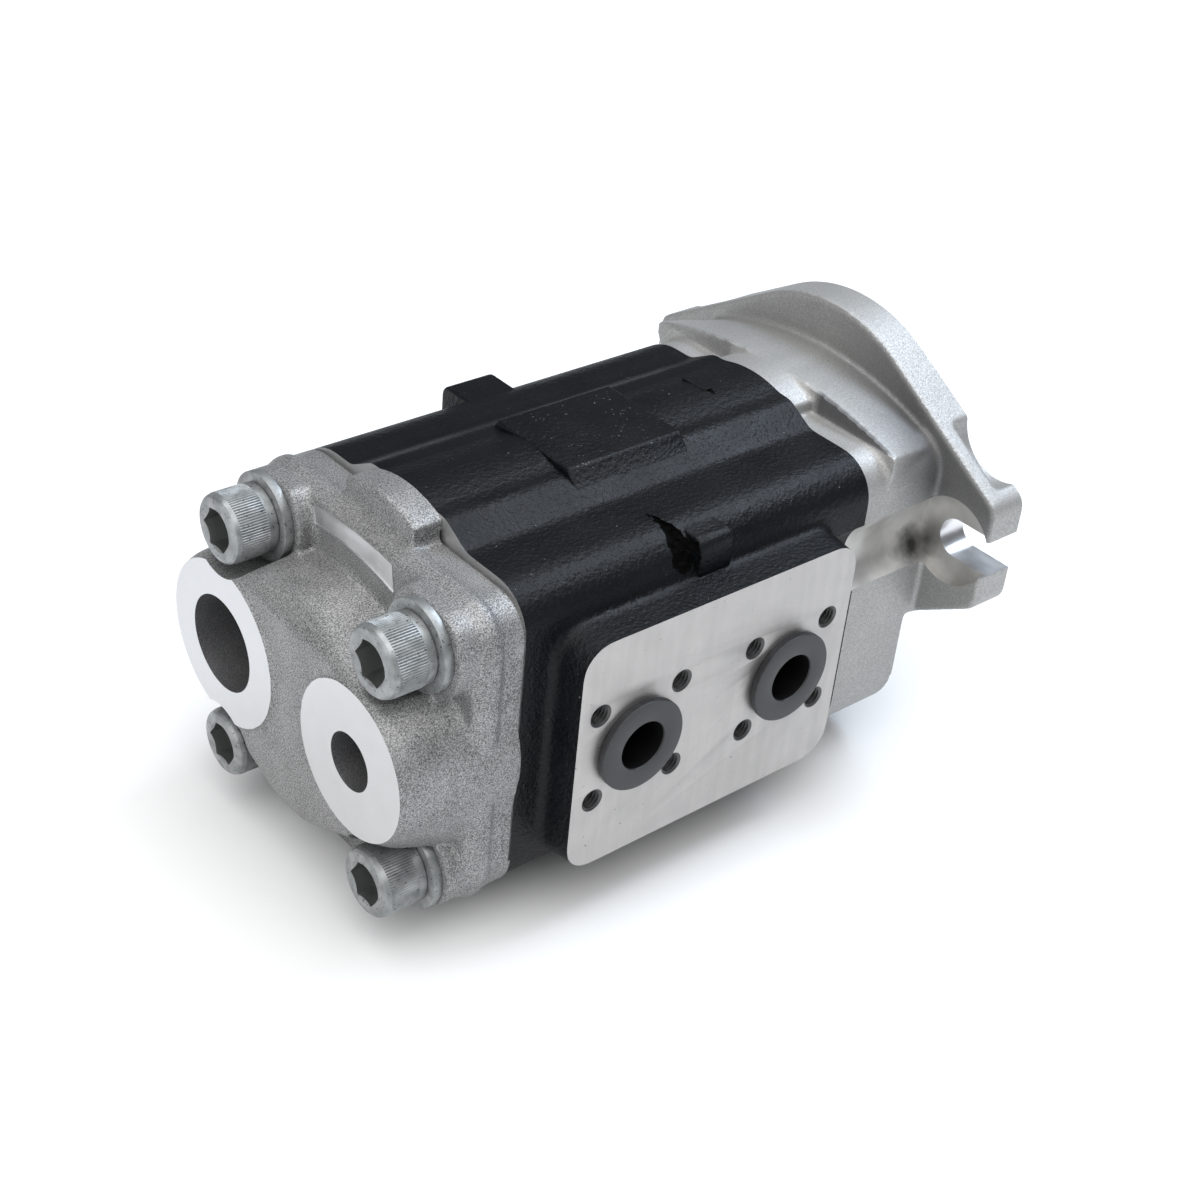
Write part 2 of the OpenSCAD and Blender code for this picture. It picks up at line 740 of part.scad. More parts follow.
// Splined quill that joins the two drive gears
module coupling_quill() {
    color(steel) along_x(web_mid_x - quill_len / 2, quill_len)
        spline_section(quill_teeth, quill_r, quill_r - quill_depth);
}

// Driven gear with its journals, in mesh with a tooth that points down
module driven_gear(x, tail_front, tail_rear) {
    color(steel) translate([0, 0, -gear_centres]) {
        along_x(x, gear_w) gear_section(90 + 180 / teeth);
        rod(x - tail_front, tail_front + cut, journal_r);
        rod(x + gear_w - cut, tail_rear + cut, journal_r);
    }
}

module front_driven_gear() {
    driven_gear(front_gear_x, plate_t + front_bush_len - 1, plate_t + web_bush_len);
}

module rear_driven_gear() {
    driven_gear(rear_gear_x, plate_t + web_bush_len, plate_t + rear_bush_len - 1);
}

// Pair of plain bushes, one on each gear axis, with an oil groove
module bush_pair(x, l) {
    groove = 1.6;
    color(bronze) at_gears() difference() {
        rod(x, l, bush_r);
        rod(x - cut, l + 2 * cut, journal_r + run_gap);
        translate([x - cut, -journal_r - 0.8, -groove / 2]) cube([l + 2 * cut, journal_r, groove]);
    }
}

module flange_bushes() {
    bush_pair(front_len - front_bush_len, front_bush_len);
}

module front_web_bushes() {
    bush_pair(front_chamber_end, web_bush_len);
}

module rear_web_bushes() {
    bush_pair(rear_chamber_start - web_bush_len, web_bush_len);
}

module cover_bushes() {
    bush_pair(joint_x, rear_bush_len);
}

// Track of the pressure seal in the back of a side plate
module plate_seal_track(w) {
    translate([0, mid_z]) {
        intersection() {
            for (s = [-1, 1]) translate([0, s * gear_centres / 2]) difference() {
                circle(plate_seal_r + w / 2);
                circle(plate_seal_r - w / 2);
            }
            translate([-6, -gear_centres]) square([gear_centres, 2 * gear_centres]);
        }
        square([w, gear_centres - 2 * plate_seal_r + w], center = true);
    }
}

// Side plate with its back face, which holds the seal, at x on the side s
module side_plate(x, s) {
    relief_depth = 1;
    color(bronze) difference() {
        along_x(min(x, x + s * plate_t), plate_t) difference() {
            figure_eight(chamber_r - plate_gap);
            figure_eight(journal_r + journal_hole_gap);
        }
        along_x(s > 0 ? x - cut : x - plate_seal_groove, plate_seal_groove + cut)
            plate_seal_track(plate_seal_w + 0.2);
        for (y = [-6, 6])
            rod(s > 0 ? x + plate_t - relief_depth : x - plate_t - cut, relief_depth + cut, 3, y, mid_z);
    }
}

module front_outer_plate() {
    side_plate(front_len, 1);
}

module front_inner_plate() {
    side_plate(front_chamber_end, -1);
}

module rear_inner_plate() {
    side_plate(rear_chamber_start, 1);
}

module rear_outer_plate() {
    side_plate(joint_x, -1);
}

// Pressure seals of one gear section, bedded in the backs of its side plates
module plate_seals(x0, x1) {
    color(rubber) {
        along_x(x0 + plate_seal_groove - plate_seal_t, plate_seal_t) plate_seal_track(plate_seal_w);
        along_x(x1 - plate_seal_groove, plate_seal_t) plate_seal_track(plate_seal_w);
    }
}

module front_plate_seals() {
    plate_seals(front_len, front_chamber_end);
}

module rear_plate_seals() {
    plate_seals(rear_chamber_start, joint_x);
}

module front_body_seal() {
    color(rubber) along_x(front_len, groove_depth) cord_track(cord_w);
}

module rear_body_seal() {
    color(rubber) along_x(joint_x - groove_depth, groove_depth) cord_track(cord_w);
}

// Lip seal around the drive shaft, with a groove for its spring
module shaft_seal() {
    out = seal_d / 2 - fit_gap;
    lip = journal_r + run_gap;
    case_t = 1.5;
    x0 = seal_front_x;
    x1 = seal_depth;
    color(rubber) difference() {
        turned() polygon([[lip, x0 + 3], [lip + 1, x0 + 2], [lip + 1, x0], [out, x0], [out, x1],
            [out - case_t, x1], [out - case_t, x0 + case_t], [lip + 3.6, x0 + case_t],
            [lip + 3.6, x1 - 1], [lip + 1, x1 - 1], [lip, x0 + 4]]);
        turned() translate([spring_r, spring_x]) circle(spring_wire_r + fit_gap);
    }
}
spring_wire_r = 0.7;
spring_r = journal_r + 3.4;
spring_x = seal_depth - 3.2;

// Garter spring that closes the lip on the shaft
module seal_spring() {
    color(steel) turned() translate([spring_r, spring_x]) circle(spring_wire_r, $fn = 24);
}

// Retaining ring ahead of the shaft seal, open at the bottom
module seal_ring() {
    ring_w = 2.6;
    gap = 9;
    out = seal_d / 2 + ring_bite - 0.1;
    color(steel) along_x(ring_x, ring_t) {
        difference() {
            circle(out);
            circle(out - ring_w);
            translate([-gap / 2, -seal_d]) square([gap, seal_d]);
        }
        for (s = [-1, 1]) translate([s * (gap / 2 + 1.6), -out + ring_w + 1]) difference() {
            circle(2);
            circle(0.9);
        }
    }
}

// Pair of hollow dowels across the joint at x
module hollow_dowels(x) {
    color(steel) at_dowels() difference() {
        rod(x - dowel_len / 2 + fit_gap, dowel_len - 2 * fit_gap, dowel_d / 2);
        rod(x - dowel_len, 2 * dowel_len, bolt_hole_d / 2);
    }
}

module front_dowels() {
    hollow_dowels(front_len);
}

module rear_dowels() {
    hollow_dowels(joint_x);
}

// Plastic plug pressed into the discharge port at x
module port_cap(x) {
    step_r = cap_d / 2 - 0.6;
    spigot_r = port_d / 2 - cap_gap;
    hollow_r = cap_hollow_d / 2;
    floor_t = 1.2;
    chamfer = 0.6;
    disc_split = 0.9;
    color(plastic) translate([x, port_face_y, mid_z]) rotate([-90, 0, 0]) rotate_extrude()
        polygon([[0, -cap_spigot], [spigot_r - chamfer, -cap_spigot], [spigot_r, chamfer - cap_spigot],
            [spigot_r, 0], [step_r, 0], [step_r, disc_split], [cap_d / 2, disc_split], [cap_d / 2, cap_t],
            [hollow_r, cap_t], [hollow_r, floor_t - cap_spigot], [0, floor_t - cap_spigot]]);
}

module front_port_cap() {
    port_cap(port_x);
}

module rear_port_cap() {
    port_cap(port_x + port_pitch);
}

mounting_flange();
pump_body();
rear_cover();
cover_bolts();
bolt_washers();
drive_shaft();
front_driven_gear();
coupling_quill();
rear_drive_gear();
rear_driven_gear();
flange_bushes();
front_web_bushes();
rear_web_bushes();
cover_bushes();
front_outer_plate();
front_inner_plate();
rear_inner_plate();
rear_outer_plate();
front_plate_seals();
rear_plate_seals();
front_body_seal();
rear_body_seal();
shaft_seal();
seal_spring();
seal_ring();
front_dowels();
rear_dowels();
front_port_cap();
rear_port_cap();
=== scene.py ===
"""The looks of a tandem gear pump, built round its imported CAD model. All shapes are in
metres in the model's own frame; sizes written in the sections are in millimetres."""
import math

import bpy
from mathutils import Matrix, Vector


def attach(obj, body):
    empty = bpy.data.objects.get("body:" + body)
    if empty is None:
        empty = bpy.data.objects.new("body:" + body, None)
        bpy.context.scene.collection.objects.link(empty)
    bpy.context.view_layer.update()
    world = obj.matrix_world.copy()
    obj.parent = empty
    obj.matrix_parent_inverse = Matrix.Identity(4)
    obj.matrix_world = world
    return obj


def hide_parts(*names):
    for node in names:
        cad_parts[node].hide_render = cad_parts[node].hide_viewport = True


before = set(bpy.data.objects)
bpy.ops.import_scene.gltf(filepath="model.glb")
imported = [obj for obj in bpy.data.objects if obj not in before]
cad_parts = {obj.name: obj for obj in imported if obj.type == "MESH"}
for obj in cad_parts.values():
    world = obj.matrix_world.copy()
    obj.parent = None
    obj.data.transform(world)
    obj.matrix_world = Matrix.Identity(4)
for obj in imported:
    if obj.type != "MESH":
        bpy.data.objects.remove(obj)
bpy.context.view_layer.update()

# ---- Camera
# A long lens above and behind the rear cover, on the side of the discharge ports, set
# where the edges of the CAD model fall on those of the real pump.
camera_data = bpy.data.cameras.new("camera")
camera_data.lens = 59.46
camera_data.sensor_width = 36.0
camera_data.clip_start = 0.01
camera = bpy.data.objects.new("camera", camera_data)
bpy.context.scene.collection.objects.link(camera)
right = Vector((-0.765116, 0.638292, 0.084742))
up = Vector((-0.302598, -0.472609, 0.827693))
back = Vector((0.568359, 0.607638, 0.554747))
camera_turn = Matrix((right, up, back)).transposed().to_4x4()
camera.matrix_world = Matrix.Translation((0.382986, 0.318570, 0.268707)) @ camera_turn
bpy.context.scene.camera = camera

# ---- Floor and studio light
# A pale sheet under the pump and a large soft box above it, as for a catalogue picture.
# A small cool box lights it from beyond the shaft end, and another faces the rear cover.
def plain_material(name, colour, roughness):
    material = bpy.data.materials.new(name)
    material.use_nodes = True
    shader = material.node_tree.nodes["Principled BSDF"]
    shader.inputs["Base Color"].default_value = (*colour, 1)
    shader.inputs["Roughness"].default_value = roughness
    return material


bpy.ops.object.select_all(action="DESELECT")
bpy.ops.mesh.primitive_plane_add(size=8, location=(0.07, 0, -0.0689))
floor = bpy.context.object
floor.name = "floor"
floor.data.materials.append(plain_material("floor_paper", (0.85, 0.85, 0.85), 0.9))

world = bpy.data.worlds.new("studio")
bpy.context.scene.world = world
world.use_nodes = True
world.node_tree.nodes["Background"].inputs["Color"].default_value = (0.93, 0.96, 1.0, 1)
world.node_tree.nodes["Background"].inputs["Strength"].default_value = 0.17
bpy.context.scene.view_settings.view_transform = "Standard"


def soft_box(name, place, aim, width, height, watts, colour=(1, 1, 1)):
    lamp = bpy.data.lights.new(name, "AREA")
    lamp.color = colour
    lamp.shape = "RECTANGLE"
    lamp.size = width
    lamp.size_y = height
    lamp.energy = watts
    box = bpy.data.objects.new(name, lamp)
    box.location = place
    box.rotation_euler = (Vector(aim) - Vector(place)).to_track_quat("-Z", "Y").to_euler()
    bpy.context.scene.collection.objects.link(box)


soft_box("top_box", (0.8, 0.7, 2.0), (0.8, 0.7, 0), 3.6, 3.6, 96)
soft_box("far_box", (-0.66, 0.08, 0.93), (0.09, 0, 0), 0.6, 0.4, 8.5, (0.75, 0.86, 1))
soft_box("cover_box", (1.45, 0.1, 0.45), (0.15, 0, 0), 0.9, 0.6, 4.5)

# ---- Body casting
# One iron casting with both gear chambers, painted satin black before it is machined.
# The blank is built up from blocks and bars, its edges are run into each other as in a
# sand mould, and then the joint faces, the port faces and every bore are cut.
MM = 0.001
MID = -17.5  # height of the mid plane, halfway between the gear axes
GEAR_AXES = (0, -35)
FRONT_JOINT, REAR_JOINT = 39, 149
PORT_FACE = 55.6
DISCHARGE_PORTS = (71.5, 120.5)
SUCTION_PORT = 94
CHAMBER, JOURNAL_BORE, BOLT_HOLE = 20.8, 12.5, 6.75
EAR_BOLT, SPOT_FACE = 53.2, 12.5
bolt_spots = [(y, MID + z) for y in (-32, 32) for z in (-32, 32)]


def start_piece():
    if bpy.context.mode != "OBJECT":
        bpy.ops.object.mode_set(mode="OBJECT")
    bpy.ops.object.select_all(action="DESELECT")


def bar(x0, x1, r, y=0.0, z=0.0, r_end=None, sides=96):
    """Round bar along X, which may taper to r_end."""
    start_piece()
    r_end = r if r_end is None else r_end
    middle = ((x0 + x1) / 2 * MM, y * MM, z * MM)
    bpy.ops.mesh.primitive_cone_add(vertices=sides, radius1=r * MM, radius2=r_end * MM, depth=(x1 - x0) * MM,
                                    location=middle, rotation=(0, math.pi / 2, 0))
    return bpy.context.object


def bar_y(y0, y1, r, x, z, r_end=None, sides=64):
    """Round bar along Y, which may taper to r_end."""
    start_piece()
    r_end = r if r_end is None else r_end
    middle = (x * MM, (y0 + y1) / 2 * MM, z * MM)
    bpy.ops.mesh.primitive_cone_add(vertices=sides, radius1=r * MM, radius2=r_end * MM, depth=(y1 - y0) * MM,
                                    location=middle, rotation=(-math.pi / 2, 0, 0))
    return bpy.context.object


def block(low, high):
    """Block between two opposite corners."""
    start_piece()
    centre = [(a + b) / 2 * MM for a, b in zip(low, high)]
    size = [(b - a) * MM for a, b in zip(low, high)]
    bpy.ops.mesh.primitive_cube_add(size=1, location=centre, scale=size)
    return bpy.context.object


def slab(outline, start, end, axis="X", shrink=None):
    """Outline drawn across an axis and extruded along it; shrink scales its far end about a point."""
    start_piece()
    bpy.ops.mesh.primitive_circle_add(vertices=len(outline), radius=0.01, fill_type="NGON")
    piece = bpy.context.object
    for vertex, (u, v) in zip(piece.data.vertices, outline):
        vertex.co = (start * MM, u * MM, v * MM) if axis == "X" else (u * MM, start * MM, v * MM)
    bpy.ops.object.mode_set(mode="EDIT")
    bpy.ops.mesh.select_all(action="SELECT")
    length = (end - start) * MM
    move = (length, 0, 0) if axis == "X" else (0, length, 0)
    bpy.ops.mesh.extrude_region_move(TRANSFORM_OT_translate={"value": move})
    if shrink:
        (u, v), (su, sv) = shrink
        pivot = (end * MM, u * MM, v * MM) if axis == "X" else (u * MM, end * MM, v * MM)
        scale = (1, su, sv) if axis == "X" else (su, 1, sv)
        bpy.ops.transform.resize(value=scale, center_override=pivot)
    bpy.ops.mesh.select_all(action="SELECT")
    bpy.ops.mesh.normals_make_consistent(inside=False)
    bpy.ops.object.mode_set(mode="OBJECT")
    return piece


def turned(profile, axis, sides, x=0.0, y=0.0, z=0.0, way=1):
    """Solid turned about an axis through (x, y, z), from (distance, radius) pairs along it."""
    start_piece()
    centre = (x, y, z)
    along = (1, 0, 0) if axis == "X" else (0, 1, 0)
    tilt = (0, math.pi / 2, 0) if axis == "X" else (math.pi / 2, 0, 0)
    at, size = profile[0]
    ring = [(c + way * at * a) * MM for c, a in zip(centre, along)]
    bpy.ops.mesh.primitive_circle_add(vertices=sides, radius=size * MM, fill_type="NGON",
                                      location=ring, rotation=tilt)
    bpy.ops.object.transform_apply(location=True, rotation=True, scale=True)
    bpy.ops.object.mode_set(mode="EDIT")
    bpy.ops.mesh.select_all(action="SELECT")
    for distance, radius in profile[1:]:
        step = [way * (distance - at) * MM * a for a in along]
        bpy.ops.mesh.extrude_region_move(TRANSFORM_OT_translate={"value": step})
        ring = [(c + way * distance * a) * MM for c, a in zip(centre, along)]
        bpy.ops.transform.resize(value=[1 if a else radius / size for a in along], center_override=ring)
        at, size = distance, radius
    bpy.ops.mesh.select_all(action="SELECT")
    bpy.ops.mesh.normals_make_consistent(inside=False)
    bpy.ops.object.mode_set(mode="OBJECT")
    return bpy.context.object


def arc(cy, cz, r, start, end, steps=12):
    """Points of an arc about (cy, cz), with its angles in degrees."""
    turns = [math.radians(start + (end - start) * i / steps) for i in range(steps + 1)]
    return [(cy + r * math.cos(t), cz + r * math.sin(t)) for t in turns]


def casting_outline(w, h, full, soft):
    """Section of half width w and half height h about the mid plane, with two kinds of corner."""
    return (arc(w - full, MID + h - full, full, 0, 90)
            + arc(soft - w, MID + h - soft, soft, 90, 180)
            + arc(full - w, MID - h + full, full, 180, 270)
            + arc(w - soft, MID - h + soft, soft, 270, 360))


def joined(parts):
    """The parts as one object, with its place and size worked into the mesh."""
    start_piece()
    for part in parts:
        part.select_set(True)
    bpy.context.view_layer.objects.active = parts[0]
    if len(parts) > 1:
        bpy.ops.object.join()
    bpy.ops.object.transform_apply(location=True, rotation=True, scale=True)
    return bpy.context.object


def applied(piece, kind, **settings):
    """Puts one modifier on the piece and works it into the mesh."""
    start_piece()
    piece.select_set(True)
    bpy.context.view_layer.objects.active = piece
    modifier = piece.modifiers.new("work", kind)
    for key, value in settings.items():
        setattr(modifier, key, value)
    bpy.ops.object.modifier_apply(modifier=modifier.name)


def wrapped(parts):
    """Skin drawn tight over the given parts."""
    piece = joined(parts)
    bpy.ops.object.mode_set(mode="EDIT")
    bpy.ops.mesh.select_all(action="SELECT")
    bpy.ops.mesh.convex_hull()
    bpy.ops.object.mode_set(mode="OBJECT")
    return piece


def cast(parts, grain, rounds):
    """Runs the parts into one casting whose edges and inner corners are rounded."""
    piece = joined(parts)
    applied(piece, "REMESH", mode="VOXEL", voxel_size=grain * MM)
    applied(piece, "SMOOTH", factor=0.5, iterations=rounds)
    return piece


def trimmed(piece, tool, operation="DIFFERENCE", **more):
    """Takes the tool away from the piece, or does another such operation with it."""
    applied(piece, "BOOLEAN", object=tool, operation=operation, solver="MANIFOLD", **more)
    bpy.data.objects.remove(tool)


def coat(mesh, material):
    mesh.materials.clear()
    mesh.materials.append(material)


def cut(piece, tools, material, add=False):
    """Machines the piece with each tool, which leaves its own finish on the new faces."""
    for tool in tools:
        joined([tool])
        coat(tool.data, material)
        trimmed(piece, tool, "UNION" if add else "DIFFERENCE", material_mode="TRANSFER")


def finished(piece, name, body, nodes, angle=32):
    """Names and shades a piece, and puts it in the place of its CAD nodes."""
    piece.name = name
    piece.data.name = name
    start_piece()
    piece.select_set(True)
    bpy.context.view_layer.objects.active = piece
    bpy.ops.object.shade_smooth_by_angle(angle=math.radians(angle))
    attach(piece, body)
    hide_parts(*nodes)


def tinted(colour, share):
    return tuple(min(1.0, c * share) for c in colour)


class Finish:
    """A material whose patterns are laid out in the pump's own millimetres."""

    def __init__(self, name, colour, metallic, roughness):
        self.material = bpy.data.materials.new(name)
        self.material.use_nodes = True
        self.tree = self.material.node_tree
        self.shader = self.tree.nodes["Principled BSDF"]
        self.shader.inputs["Metallic"].default_value = metallic
        self.shader.inputs["Roughness"].default_value = roughness
        self.shader.inputs["Base Color"].default_value = (*colour, 1)
        self.place = self.tree.nodes.new("ShaderNodeTexCoord").outputs["Object"]
        self.normal = None

    def node(self, kind, **settings):
        made = self.tree.nodes.new(kind)
        for key, value in settings.items():
            if key in made.inputs:
                made.inputs[key].default_value = value
            else:
                setattr(made, key, value)
        return made

    def link(self, output, node, socket):
        self.tree.links.new(output, node.inputs[socket])

    def axes(self):
        """The X, Y and Z of each point, in metres."""
        apart = self.node("ShaderNodeSeparateXYZ")
        self.link(self.place, apart, "Vector")
        return [apart.outputs[axis] for axis in "XYZ"]

    def stretched(self, scale, shift=(0, 0, 0)):
        """Places for a noise whose grain is drawn out along an axis."""
        mapping = self.node("ShaderNodeMapping", Scale=scale, Location=shift)
        self.link(self.place, mapping, "Vector")
        return mapping.outputs["Vector"]

    def noise(self, size, detail, place=None):
        """Noise with features of the given size in millimetres."""
        made = self.node("ShaderNodeTexNoise", Scale=1000.0 / size, Detail=detail)
        self.link(place or self.place, made, "Vector")
        return made.outputs["Fac"]

    def ramp(self, value, low, high, low_colour, high_colour):
        """A colour that runs from one at a low value to another at a high value."""
        made = self.node("ShaderNodeValToRGB")
        first, last = made.color_ramp.elements
        first.position, last.position = low, high
        first.color, last.color = (*low_colour, 1), (*high_colour, 1)
        self.link(value, made, "Fac")
        return made.outputs["Color"]

    def grey(self, value, low, high, dark, light):
        """A number that runs from dark at a low value to light at a high value."""
        made = self.node("ShaderNodeMapRange")
        for key, number in (("From Min", low), ("From Max", high), ("To Min", dark), ("To Max", light)):
            made.inputs[key].default_value = number
        self.link(value, made, "Value")
        return made.outputs["Result"]

    def maths(self, operation, a, b):
        made = self.node("ShaderNodeMath", operation=operation)
        for i, value in enumerate((a, b)):
            if isinstance(value, (int, float)):
                made.inputs[i].default_value = value
            else:
                self.tree.links.new(value, made.inputs[i])
        return made.outputs["Value"]

    def times(self, a, b):
        return self.maths("MULTIPLY", a, b)

    def plus(self, a, b):
        return self.maths("ADD", a, b)

    def over(self, value, limit):
        return self.maths("GREATER_THAN", value, limit)

    def off(self, value, centre):
        """How far a value lies from a centre."""
        return self.maths("ABSOLUTE", self.maths("SUBTRACT", value, centre), 0)

    def within(self, value, centre, half):
        return self.maths("LESS_THAN", self.off(value, centre), half)

    def mixed(self, factor, a, b):
        """Colour a, or b where the factor is 1; b is a plain colour."""
        first_colour, second_colour, colour_result = 6, 7, 2
        made = self.node("ShaderNodeMix", data_type="RGBA", blend_type="MIX")
        self.link(factor, made, 0)
        self.link(a, made, first_colour)
        made.inputs[second_colour].default_value = (*b, 1)
        return made.outputs[colour_result]

    def bump(self, height, strength, depth):
        """Relief of the given depth in millimetres, on top of any before it."""
        made = self.node("ShaderNodeBump", Strength=strength, Distance=depth * MM)
        self.link(height, made, "Height")
        if self.normal:
            self.link(self.normal, made, "Normal")
        self.normal = made.outputs["Normal"]

    def done(self, colour, roughness):
        self.link(colour, self.shader, "Base Color")
        self.link(roughness, self.shader, "Roughness")
        self.link(self.normal, self.shader, "Normal")
        return self.material


def satin_black_paint():
    paint = Finish("satin_black_paint", (0.003, 0.003, 0.004), 0.0, 0.4)
    paint.shader.inputs["Specular IOR Level"].default_value = 0.2
    cloudy = paint.noise(14, 4)
    paint.bump(paint.noise(4.5, 2), 0.4, 0.25)
    paint.bump(paint.noise(1.3, 2), 1.0, 0.26)
    paint.bump(paint.noise(0.7, 1), 0.9, 0.13)
    colour = paint.ramp(cloudy, 0.3, 0.75, (0.0014, 0.0018, 0.0028), (0.0032, 0.0039, 0.0056))
    x, y, z = paint.axes()

    # A thread of mould flash under the paint, which bows along the top of the casting.
    bow = paint.times(paint.maths("POWER", paint.maths("SUBTRACT", x, 0.085), 2), -3.6)
    wave = paint.times(paint.maths("SUBTRACT", paint.noise(7, 4), 0.5), 0.006)
    on_line = paint.within(y, paint.plus(paint.plus(bow, wave), 0.0252), 0.00018)
    on_top = paint.times(paint.over(z, 0.0262), paint.within(x, 0.0985, 0.0195))
    paint.bump(paint.times(on_line, on_top), 0.8, 0.3)

    # Bare flecks, close together on the raised pad and rare elsewhere.
    on_pad = paint.times(paint.over(z, 0.0325), paint.within(x, 0.0953, 0.0175))
    patchy = paint.over(paint.noise(7, 2), 0.5)
    flecks = paint.times(paint.times(paint.over(paint.noise(0.9, 2), 0.69), patchy), on_pad)
    specks = paint.over(paint.noise(1.0, 1), 0.795)
    colour = paint.mixed(paint.maths("MAXIMUM", flecks, specks), colour, (0.11, 0.115, 0.12))
    return paint.done(colour, paint.grey(cloudy, 0.3, 0.75, 0.4, 0.5))


def milled_iron(name, colour, along):
    """Bright milled face with fine cutter lines, long in the direction along, and a few pits."""
    face = Finish(name, colour, 0.9, 0.4)
    lines = face.noise(1.0, 3, face.stretched(tuple(0.06 if i == along else 3.2 for i in range(3))))
    streaks = face.noise(1.0, 3, face.stretched(tuple(0.03 if i == along else 0.4 for i in range(3))))
    face.bump(lines, 0.16, 0.03)
    pits = face.maths("LESS_THAN", face.noise(0.9, 2), 0.25)
    mottle = face.plus(face.times(streaks, 0.35), face.times(face.noise(7, 5), 0.35))
    shade = face.ramp(face.plus(face.times(lines, 0.3), mottle), 0.35, 0.65,
                      tinted(colour, 0.88), tinted(colour, 1.06))
    return face.done(face.mixed(pits, shade, (0.05, 0.05, 0.05)), face.grey(lines, 0.3, 0.7, 0.42, 0.54))


def moulded(name, colour, roughness, size, shine=0.5):
    """Even, dull skin with a fine grain of the given size."""
    skin = Finish(name, colour, 0.0, roughness)
    skin.shader.inputs["Specular IOR Level"].default_value = shine
    grain = skin.noise(size, 3)
    skin.bump(grain, 0.25, 0.05)
    return skin.done(skin.ramp(grain, 0.3, 0.7, tinted(colour, 0.8), tinted(colour, 1.25)),
                     skin.grey(grain, 0.3, 0.7, roughness - 0.06, roughness + 0.06))


black_paint = satin_black_paint()
port_face_finish = milled_iron("milled_port_face", (0.465, 0.45, 0.44), 2)
joint_finish = milled_iron("milled_joint", (0.6, 0.6, 0.6), 1)
# The bores are the same milled iron as the faces, painted far darker as the shade inside the holes.
shaded_bore_finish = milled_iron("bored_iron_painted_shade", (0.1, 0.1, 0.1), 0)


def threaded(side, x, z, r, depth, pitch):
    """Tool that cuts a tapped hole from a port face, with its thread ridges."""
    profile = [(-1.0, r + 0.15), (0.0, r + 0.15)]
    for i in range(int(depth / pitch)):
        profile += [(i * pitch + 0.05, r + 0.05), (i * pitch + pitch / 2, r - 0.55)]
    profile += [(depth, r - 0.5), (depth + 1.6, 0.3)]
    return turned(profile, "Y", 28, x, side * PORT_FACE, z, way=-side)


def port_block(side, length, height):
    """Raised block under a port face, which widens by the flare to its root."""
    middle, corner, flare = 95.5, 7.7, 1.9
    half_l, half_h = length / 2, height / 2
    flat_l, flat_h = half_l - corner, half_h - corner
    outline = [(middle + u, MID + v) for u, v in (
        arc(flat_l, flat_h, corner, 0, 90) + arc(-flat_l, flat_h, corner, 90, 180)
        + arc(-flat_l, -flat_h, corner, 180, 270) + arc(flat_l, -flat_h, corner, 270, 360))]
    wide_l, wide_h = 1 + flare / half_l, 1 + flare / half_h
    root = [(middle + (u - middle) * wide_l, MID + (v - MID) * wide_h) for u, v in outline]
    return slab(root, side * 38, side * 60.2, "Y", ((middle, MID), (1 / wide_l, 1 / wide_h)))


def lump(place, radii, rough, number):
    """Rough ball of the given radii, as a break in the sand mould leaves it."""
    start_piece()
    bpy.ops.mesh.primitive_ico_sphere_add(subdivisions=4, radius=MM, scale=radii,
                                          location=[v * MM for v in place])
    bpy.ops.object.transform_apply(location=True, rotation=True, scale=True)
    bpy.ops.object.mode_set(mode="EDIT")
    bpy.ops.mesh.select_all(action="SELECT")
    bpy.ops.transform.vertex_random(offset=rough * MM, uniform=0, normal=1, seed=number)
    bpy.ops.mesh.vertices_smooth(factor=0.5, repeat=2)
    bpy.ops.object.mode_set(mode="OBJECT")
    return bpy.context.object


def lug(side, x, length):
    """Lug on an upper corner of the casting, with one rounded corner."""
    out, top, corner = 47.4, 43.4, 3
    section = [(32, 30), (out, 30)] + arc(out - corner, 40.4, corner, 0, 90, 5) + [(32, top)]
    return slab([(side * u, MID + v) for u, v in section], x - length / 2, x + length / 2)


blank_start, blank_end = FRONT_JOINT - 6, REAR_JOINT + 6
crest = [(-24, MID + 44.2), (-14.5, MID + 49.5), (14.5, MID + 49.5), (24, MID + 44.2), (0, MID + 40)]
keel = [(-24, MID - 44.2), (0, MID - 40), (24, MID - 44.2), (14.5, MID - 49.5), (-14.5, MID - 49.5)]
body = cast([
    slab(casting_outline(46, 44.7, 11, 17), blank_start, blank_end),
    *[bar(blank_start, blank_end, 33.7, 0, z) for z in GEAR_AXES],
    slab(crest, blank_start, blank_end),
    slab(keel, blank_start, blank_end),
    port_block(1, 87, 64.6),
    port_block(-1, 80, 54),
], 0.95, 9)
coat(body.data, black_paint)

# The raised pad on top and a lug on each upper corner.
pad = [(-19.4, MID + 44.2), (-12.9, MID + 51.4), (14.6, MID + 51.4), (21.1, MID + 44.2)]
raised = [slab(pad, 77.3, 113.3), lug(1, 93.2, 10.4), lug(-1, 97, 15)]
for part in raised:
    applied(part, "BEVEL", width=0.7 * MM, segments=3, limit_method="ANGLE", angle_limit=math.radians(40))
cut(body, raised, black_paint, add=True)

# The break beside the lug over the port face, as a row of lumps with (place, size), made
# rough as one. Then a nick in the top and the thin ridge that runs on from it. The break
# and the nick are lined with a near-black, dull skin that is painted shade.
shaded_break_skin = moulded("broken_casting_painted_shade", (0.0015, 0.0015, 0.0015), 0.75, 0.7, 0.05)
break_row = (
    ((102.9, 32.8, 27.4), 1.2), ((102.4, 35.4, 27.0), 1.6), ((102.0, 37.8, 26.8), 1.9),
    ((101.4, 40.2, 26.2), 2.4), ((102.4, 42.2, 25.0), 2.9), ((100.8, 44.4, 24.0), 3.3),
    ((102.6, 45.8, 21.8), 3.4), ((101.0, 46.8, 20.4), 3.2))
breaks = joined([lump(place, (size * 0.9, size, size), 0.3, number)
                 for number, (place, size) in enumerate(break_row)])
applied(breaks, "REMESH", mode="VOXEL", voxel_size=1.1 * MM)
bpy.ops.object.mode_set(mode="EDIT")
